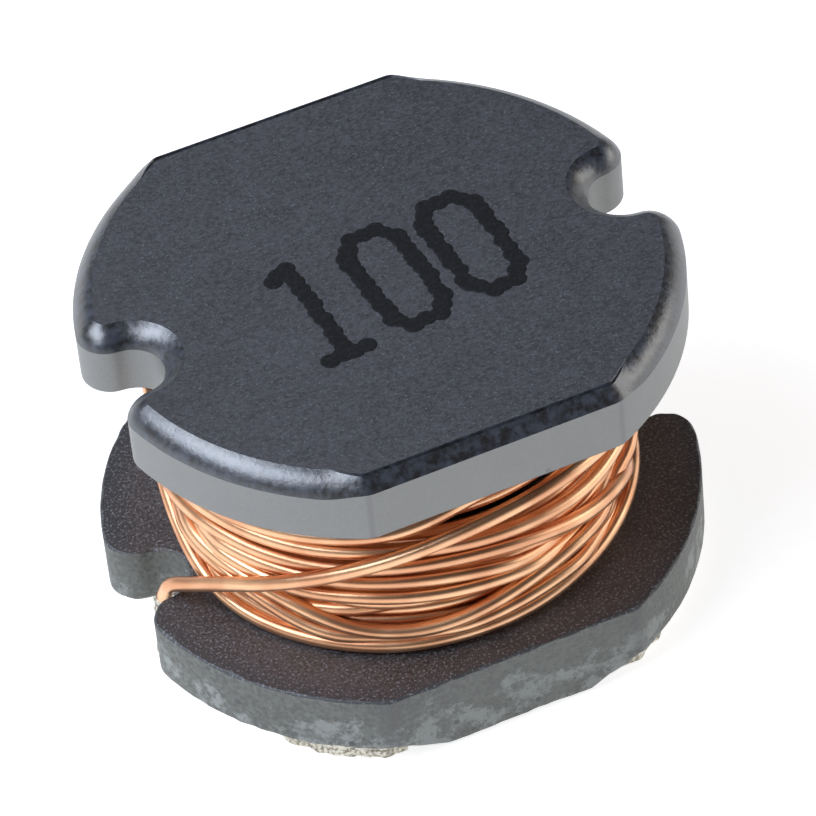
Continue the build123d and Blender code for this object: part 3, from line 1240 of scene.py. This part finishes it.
@dataclass
class SolderJoint:
    """Reflowed solder over one electrode: a pad, and a wick up the lead. Sizes in mm."""

    side: int
    node: str
    outline: FlangeOutline = FlangeOutline(7.80, 0.40)
    bar_edge: float = 1.48
    film_z: float = 0.29
    neck_width: float = 0.36
    neck_length: float = 0.90
    wick_sink: float = 0.05
    wick_flare: float = 0.30
    wick_top: float = 1.01
    wick_tip_radius: float = 0.13
    round_points: int = 24
    voxel: float = 0.026
    soften_passes: int = 6
    lump: float = 0.045
    lump_mm: float = 0.16
    # How far the pad's rim stays in from the flange's, by direction from the notch, in degrees
    insets: ClassVar[tuple[tuple[float, float], ...]] = (
        (0, 0.38), (36, 0.34), (42, 0.20), (50, 0.15), (60, 0.17), (66, 0.12), (75, 0.14),
    )

    def pad_plan(self) -> np.ndarray:
        """Plan of the pad, two columns: the flange's outline drawn in, cut off at the bar."""
        directions, insets = zip(*self.insets)
        least, most = min(insets), max(insets)
        outer, inner = self.outline.loop(least), self.outline.loop(most)
        direction = np.degrees(np.arctan2(np.abs(outer[:, 1]), np.abs(outer[:, 0])))
        share = (np.interp(direction, directions, insets) - least) / (most - least)
        loop = (outer + share[:, None] * (inner - outer)) * (self.side, 1)
        plan = loop[self.side * loop[:, 0] > self.bar_edge]
        gaps = np.linalg.norm(plan - np.roll(plan, 1, axis=0), axis=1)
        plan = np.roll(plan, -int(np.argmax(gaps)), axis=0)
        ends = plan[[-1, 0]].copy()
        ends[:, 0] = self.side * self.bar_edge
        return np.vstack([plan, ends])

    def shapes(self) -> list[Piece]:
        """The pad, the neck round the tail and the wick, as plain closed meshes."""
        turn = np.linspace(0, 2 * math.pi, self.round_points, endpoint=False)
        circle = np.column_stack([np.cos(turn), np.sin(turn)]) * self.neck_width / 2
        lead = self.side * np.array([Winding.notch_x, Winding.lead_side_y])
        tail = lead - (self.side * self.neck_length, 0)
        neck = circle + np.where(self.side * circle[:, :1] < 0, tail, lead)
        tip = circle * (2 * self.wick_tip_radius / self.neck_width) + lead
        foot_z, flare_z = self.film_z - self.wick_sink, self.film_z + self.wick_flare
        wick = ((circle + lead, foot_z), (tip, flare_z), (tip, self.wick_top))
        return [
            self._stack("pad", *((self.pad_plan(), z) for z in (0.0, self.film_z))),
            self._stack("neck", *((neck, z) for z in (0.0, self.film_z))),
            self._stack("wick", *wick),
        ]

    @staticmethod
    def _stack(name: str, *levels: tuple[np.ndarray, float]) -> Piece:
        """A closed mesh through plans of as many points each, given with their heights."""
        rings = [np.column_stack([plan, np.full(len(plan), z)]) for plan, z in levels]
        count = len(rings[0])
        last = (len(rings) - 1) * count
        faces = [list(range(count))[::-1], *wall_faces(len(rings), count)]
        faces.append(list(range(last, last + count)))
        return add_mesh(name, np.concatenate(rings), faces, [])

    def melted(self) -> bpy.types.Mesh:
        """Melts the shapes into one softly rounded mesh."""
        shapes = self.shapes()
        chosen = {"selected_objects": shapes, "selected_editable_objects": shapes}
        with bpy.context.temp_override(active_object=shapes[0], **chosen):
            bpy.ops.object.join()
        rough = shapes[0]
        remesh = rough.modifiers.new("melt", "REMESH")
        remesh.mode = "VOXEL"
        remesh.voxel_size = self.voxel * MM
        rough.modifiers.new("soften", "SMOOTH").iterations = self.soften_passes
        mesh = modified_mesh(rough)
        bpy.data.objects.remove(rough)
        return mesh

    def build(self, solder: Material) -> Piece:
        """Gives the melted joint an uneven skin and puts it in the solid's place.

        Args:
            solder: The solder's finish.

        Returns:
            The joint.
        """
        mesh = self.melted()
        points = np.empty(len(mesh.vertices) * 3)
        normals = np.empty(len(mesh.vertices) * 3)
        mesh.vertices.foreach_get("co", points)
        mesh.vertices.foreach_get("normal", normals)
        points = points.reshape(-1, 3) / MM
        lumps = np.array([noise.noise(Vector(point) / self.lump_mm) for point in points])
        points += normals.reshape(-1, 3) * (self.lump * lumps)[:, None]
        low, high = (np.array(corner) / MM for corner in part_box(self.node))
        low[0] = min(low[0], self.side * self.bar_edge)
        high[0] = max(high[0], self.side * self.bar_edge)
        mesh.vertices.foreach_set("co", (np.clip(points, low, high) * MM).ravel())
        mesh.materials.clear()
        mesh.materials.append(solder)
        mesh.shade_smooth()
        mesh.update()
        piece = add_object(self.node + "_reflowed", mesh)
        fit_piece(piece, "solder", self.node)
        return piece


# ---------------------------------------------------------------- ink mark


@dataclass
class InkMark:
    """A plain number in jetted drops on the top face. Sizes in mm."""

    digits: str = "100"
    pitch: float = 1.10
    digit_height: float = 1.79
    baseline_turn: float = 5.5
    stroke_lean: float = 2.6
    centre: tuple[float, float] = (0.13, -0.24)
    drop_radius: float = 0.128
    drop_spacing: float = 0.145
    drop_jitter: float = 0.014
    size_jitter: float = 0.6
    seed: int = 7
    thickness: float = 0.005
    # How steeply the film's edge rises, and how deep in the ferrite it is cut off
    edge_slope: float = 3.0
    edge_cut: float = -0.35
    cell: float = 0.02
    strokes: ClassVar[dict[str, tuple[tuple[tuple[float, float], ...], ...]]] = {
        "1": (
            ((0.0, 1.0), (0.0, 0.0)),
            ((-0.24, 0.93), (-0.12, 0.965)),
            ((-0.25, 0.0), (0.25, 0.0)),
        ),
        "0": (
            (
                (-0.18, 1.0), (0.18, 1.0), (0.37, 0.86), (0.37, 0.14), (0.18, 0.0),
                (-0.18, 0.0), (-0.37, 0.14), (-0.37, 0.86), (-0.18, 1.0),
            ),
        ),
    }

    def drops(self) -> np.ndarray:
        """Places the drops along every stroke.

        Returns:
            X, Y and radius of each drop.
        """
        spread = np.random.default_rng(self.seed)
        rise = math.tan(math.radians(self.baseline_turn))
        lean = math.tan(math.radians(self.stroke_lean))
        drops = []
        for place, digit in enumerate(self.digits):
            start = (place - (len(self.digits) - 1) / 2) * self.pitch
            for stroke in self.strokes[digit]:
                for (x0, y0), (x1, y1) in zip(stroke, stroke[1:]):
                    run = math.hypot(x1 - x0, (y1 - y0) * self.digit_height)
                    count = max(2, round(run / self.drop_spacing) + 1)
                    for share in np.linspace(0, 1, count):
                        x = start + x0 + share * (x1 - x0)
                        y = (y0 + share * (y1 - y0) - 0.5) * self.digit_height
                        jitter = spread.normal(0, self.drop_jitter, 3)
                        drops.append((
                            self.centre[0] + x - lean * y + jitter[0],
                            self.centre[1] + y + rise * x + jitter[1],
                            self.drop_radius + self.size_jitter * jitter[2],
                        ))
        return np.array(drops)

    def build(self) -> Piece:
        """Builds the film of ink as one mesh that sinks into the ferrite at its edge."""
        drops = self.drops()
        low = drops[:, :2].min(axis=0) - 2 * self.drop_radius
        high = drops[:, :2].max(axis=0) + 2 * self.drop_radius
        across = np.arange(low[0], high[0], self.cell)
        up = np.arange(low[1], high[1], self.cell)
        grid = np.stack(np.meshgrid(across, up, indexing="ij"), axis=-1)
        cover = np.full(grid.shape[:2], -1.0)
        for x, y, radius in drops:
            gap = np.linalg.norm(grid - (x, y), axis=-1) / radius
            cover = np.maximum(cover, 1 - gap**2)
        height = self.thickness * np.clip(cover * self.edge_slope, -1, 1)
        top_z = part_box("drum_core")[1].z / MM - DrumCore.top_recess
        kept = cover > self.edge_cut
        cells = kept[:-1, :-1] & kept[1:, :-1] & kept[1:, 1:] & kept[:-1, 1:]
        used = np.zeros_like(kept)
        for i, j in ((0, 0), (1, 0), (1, 1), (0, 1)):
            used[i : used.shape[0] - 1 + i, j : used.shape[1] - 1 + j] |= cells
        number = np.full(kept.shape, -1)
        number[used] = np.arange(used.sum())
        vertices = np.column_stack([grid[used], top_z + height[used]])
        faces = [
            (number[i, j], number[i + 1, j], number[i + 1, j + 1], number[i, j + 1])
            for i, j in zip(*np.nonzero(cells))
        ]
        piece = add_mesh("ink_number", vertices, faces, [JetInk().material()])
        film = piece.modifiers.new("film", "SOLIDIFY")
        film.thickness = self.thickness * MM
        film.offset = -1
        mesh = modified_mesh(piece)
        piece.modifiers.clear()
        piece.data = mesh
        fit_piece(piece, None)
        return piece


# ---------------------------------------------------------------- studio


@dataclass(frozen=True)
class Lamp:
    """A square soft lamp, placed by where its light comes from."""

    name: str
    azimuth: float
    elevation: float
    distance: float
    width: float
    height: float
    level: float
    colour: str


@dataclass
class Studio:
    """Pale floor, soft lamps and the camera. The camera's sizes are in mm."""

    camera_place: tuple[float, float, float] = (-18.660, -50.685, 54.217)
    camera_right: tuple[float, float, float] = (0.90709, -0.41423, -0.07482)
    camera_up: tuple[float, float, float] = (0.33713, 0.60850, 0.71839)
    lens: float = 258.31
    sensor: float = 36.0
    floor_size: float = 400.0
    floor_colour: str = "#DADADA"
    floor_lift: float = 0.80
    glow: str = "#FFFFFF"
    glow_top: float = 0.30
    overhead: str = "#443F40"
    lamp_target: tuple[float, float, float] = (0, 0, 2.5)
    clip: tuple[float, float] = (1.0, 5000.0)
    lamps: ClassVar[tuple[Lamp, ...]] = (
        Lamp("window_softbox", -183, 50, 100, 93, 54, 5.6, "#E6F0FF"),
        Lamp("side_fill", -12, 20, 120, 90, 36, 2.5, "#FFFDF8"),
        Lamp("back_fill", 110, 60, 120, 70, 50, 1.0, "#F2F5FA"),
    )

    def build_floor(self) -> Piece:
        """Lays the pale floor, lifted to white for what looks at it but lit as plain grey card."""
        material, tree, _ = start_material("card_pale_matt")
        rays = add_node(tree, "ShaderNodeLightPath").outputs
        seen = calculate(tree, "MAXIMUM", rays["Is Camera Ray"], rays["Is Glossy Ray"])
        seen = calculate(tree, "MAXIMUM", seen, rays["Is Transmission Ray"])
        lift = calculate(tree, "MULTIPLY", seen, self.floor_lift)
        card = {
            "Base Color": linear(self.floor_colour),
            "Roughness": 1.0,
            "Specular IOR Level": 0.0,
            "Emission Color": linear("#FFFFFF"),
            "Emission Strength": lift,
        }
        shade_with(tree, card)
        signs = ((-1, -1, 0), (1, -1, 0), (1, 1, 0), (-1, 1, 0))
        corners = self.floor_size * np.array(signs)
        floor = add_mesh("studio_floor", corners, [(0, 1, 2, 3)], [material])
        return floor

    def build_world(self) -> None:
        """Surrounds the scene with a white sweep that glows low down and a dim room overhead."""
        world = bpy.data.worlds.new("light_tent")
        bpy.context.scene.world = world
        world.use_nodes = True
        tree = world.node_tree
        tree.nodes.clear()
        place = add_node(tree, "ShaderNodeTexCoord").outputs["Generated"]
        up = add_node(tree, "ShaderNodeSeparateXYZ", {"Vector": place}).outputs["Z"]
        rise = ramp(tree, up, 0.0, self.glow_top)
        room = blend(tree, rise, linear(self.glow), linear(self.overhead))
        background = add_node(tree, "ShaderNodeBackground", {"Color": room, "Strength": 1.0})
        add_node(tree, "ShaderNodeOutputWorld", {"Surface": background.outputs[0]})

    def build_lamps(self) -> None:
        """Hangs the lamps, each facing the object."""
        target = Vector(self.lamp_target) * MM
        for lamp in self.lamps:
            light = bpy.data.lights.new(lamp.name, "AREA")
            light.shape = "RECTANGLE"
            light.size = lamp.width * MM
            light.size_y = lamp.height * MM
            light.color = linear(lamp.colour)[:3]
            light.energy = lamp.level * math.pi * lamp.width * lamp.height * MM**2
            azimuth, elevation = math.radians(lamp.azimuth), math.radians(lamp.elevation)
            direction = Vector((
                math.cos(azimuth) * math.cos(elevation),
                math.sin(azimuth) * math.cos(elevation),
                math.sin(elevation),
            ))
            holder = add_object(lamp.name, light)
            holder.location = target + direction * lamp.distance * MM
            holder.rotation_euler = direction.to_track_quat("Z", "Y").to_euler()

    def build_camera(self) -> Piece:
        """Sets up the camera."""
        right, up = Vector(self.camera_right).normalized(), Vector(self.camera_up).normalized()
        back = right.cross(up).normalized()
        up = back.cross(right)
        lens = bpy.data.cameras.new("studio_camera")
        lens.lens = self.lens
        lens.sensor_width = self.sensor
        lens.clip_start, lens.clip_end = (distance * MM for distance in self.clip)
        camera = add_object("studio_camera", lens)
        turn = Matrix((right, up, back)).transposed().to_4x4()
        camera.matrix_world = Matrix.Translation(Vector(self.camera_place) * MM) @ turn
        bpy.context.scene.camera = camera
        return camera

    def build(self) -> None:
        """Builds the whole studio."""
        self.build_floor()
        self.build_world()
        self.build_lamps()
        self.build_camera()
        bpy.context.scene.view_settings.view_transform = "Standard"


# ---------------------------------------------------------------- assembly


def dress_electrodes() -> None:
    """Gives the fired silver films their finish; their shape stays as made."""
    silver = FIRED_SILVER.material()
    for name in ("electrode_start", "electrode_finish"):
        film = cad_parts[name]
        film.data.materials.clear()
        film.data.materials.append(silver)
        log.info("%s: dressed", name)


def main() -> None:
    """Builds the inductor piece by piece, then the studio round it."""
    logging.basicConfig(level=logging.INFO, format="%(name)s: %(message)s")
    Studio().build()
    DrumCore().build()
    Winding().build()
    dress_electrodes()
    solder = REFLOWED_SOLDER.material()
    for side, node in ((1, "solder_start"), (-1, "solder_finish")):
        SolderJoint(side, node).build(solder)
    InkMark().build()


if __name__ == "__main__":
    main()
